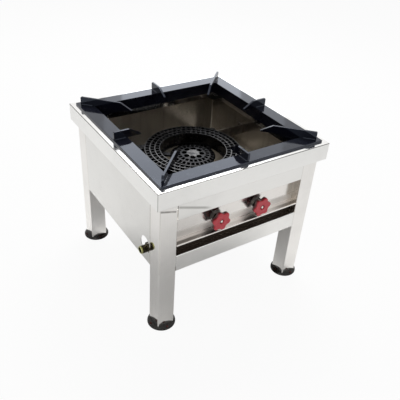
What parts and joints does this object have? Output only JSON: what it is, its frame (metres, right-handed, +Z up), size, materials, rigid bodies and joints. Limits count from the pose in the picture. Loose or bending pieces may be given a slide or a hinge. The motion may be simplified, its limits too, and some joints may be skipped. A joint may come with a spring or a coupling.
{
  "type": "stock pot range",
  "caption": "Low square gas range for stock pots: stainless stand, double ring cast burner, hand wheel valves, drip tray and lift-off pan support.",
  "frame": {"origin": "on the floor, under the middle of the square top frame", "axes": "+Z up, -Y towards the hand wheels, -X towards the gas inlet, +X to the right seen from the front"},
  "size_m": [0.533, 0.53, 0.4933],
  "materials": {
    "stand_steel": "fine brushed stainless tube",
    "panel_steel": "bright stainless sheet",
    "polished_sheet": "polished stainless sheet",
    "tray_steel": "dull sheet, darkened by drips",
    "bracket_steel": "mill finish steel, heat tinted",
    "bolt_steel": "zinc plated",
    "spindle_steel": "bright turned steel",
    "foot_black": "moulded, satin",
    "cast_iron_black": "as cast, painted black",
    "pipe_dark": "dark steel gas pipe",
    "pipe_brass": "tarnished brass",
    "valve_brass": "turned brass",
    "knob_red": "moulded, semi-gloss",
    "enamel_black": "gloss black enamel"
  },
  "bodies": {
    "stand": {"bracket_front_left": "bracket_steel", "bracket_front_right": "bracket_steel", "bracket_rear_left": "bracket_steel", "bracket_rear_right": "bracket_steel", "burner_spider": "cast_iron_black", "control_panel": "panel_steel", "elbow_high": "pipe_dark", "elbow_low": "pipe_dark", "feed_tube_left": "valve_brass", "feed_tube_right": "valve_brass", "foot_front_left": "foot_black", "foot_front_right": "foot_black", "foot_rear_left": "foot_black", "foot_rear_right": "foot_black", "front_top_rail": "panel_steel", "injector_left": "valve_brass", "injector_right": "valve_brass", "inlet_pipe": "pipe_brass", "inner_burner": "cast_iron_black", "leg_front_left": "stand_steel", "leg_front_right": "stand_steel", "leg_rear_left": "stand_steel", "leg_rear_right": "stand_steel", "lower_front_rail": "panel_steel", "manifold_cap": "pipe_dark", "manifold_pipe": "pipe_dark", "outer_burner": "cast_iron_black", "panel_nut_left": "bolt_steel", "panel_nut_right": "bolt_steel", "rear_panel": "panel_steel", "ring_bolts": "bolt_steel", "riser_pipe": "pipe_dark", "side_panel_left": "panel_steel", "side_panel_right": "panel_steel", "top_frame": "polished_sheet", "tray_runner_left": "panel_steel", "tray_runner_right": "panel_steel", "valve_body_left": "valve_brass", "valve_body_right": "valve_brass"},
    "left_hand_wheel": {"knob_left": "knob_red", "spindle_left": "spindle_steel", "knob_nut_left": "spindle_steel"},
    "right_hand_wheel": {"knob_right": "knob_red", "spindle_right": "spindle_steel", "knob_nut_right": "spindle_steel"},
    "left_air_shutter": {"air_shutter_left": "bracket_steel"},
    "right_air_shutter": {"air_shutter_right": "bracket_steel"},
    "burner_cap": {"inner_burner_cap": "cast_iron_black"},
    "tray": {"drip_tray": "tray_steel"},
    "pan_support": {"pan_frame": "enamel_black", "finger_front": "enamel_black", "finger_front_left": "enamel_black", "finger_front_right": "enamel_black", "finger_left": "enamel_black", "finger_rear": "enamel_black", "finger_rear_left": "enamel_black", "finger_rear_right": "enamel_black", "finger_right": "enamel_black"}
  },
  "joints": [
    {"name": "left_wheel_turn", "type": "hinge", "parent": "stand", "child": "left_hand_wheel", "pos_m": [-0.067, -0.242, 0.311], "axis": [0, 1, 0], "range_deg": [0, 540]},
    {"name": "right_wheel_turn", "type": "hinge", "parent": "stand", "child": "right_hand_wheel", "pos_m": [0.067, -0.242, 0.311], "axis": [0, 1, 0], "range_deg": [0, 540]},
    {"name": "left_shutter_turn", "type": "hinge", "parent": "stand", "child": "left_air_shutter", "pos_m": [-0.067, -0.166, 0.329], "axis": [0, 1, 0], "range_deg": [0, 60]},
    {"name": "right_shutter_turn", "type": "hinge", "parent": "stand", "child": "right_air_shutter", "pos_m": [0.067, -0.166, 0.361], "axis": [0, 1, 0], "range_deg": [0, 60]},
    {"name": "burner_cap_lift", "type": "slide", "parent": "stand", "child": "burner_cap", "axis": [0, 0, 1], "range_m": [0, 0.06]},
    {"name": "tray_slide", "type": "slide", "parent": "stand", "child": "tray", "axis": [0, -1, 0], "range_m": [0, 0.36]},
    {"name": "pan_support_lift", "type": "slide", "parent": "stand", "child": "pan_support", "axis": [0, 0, 1], "range_m": [0, 0.12]}
  ]
}
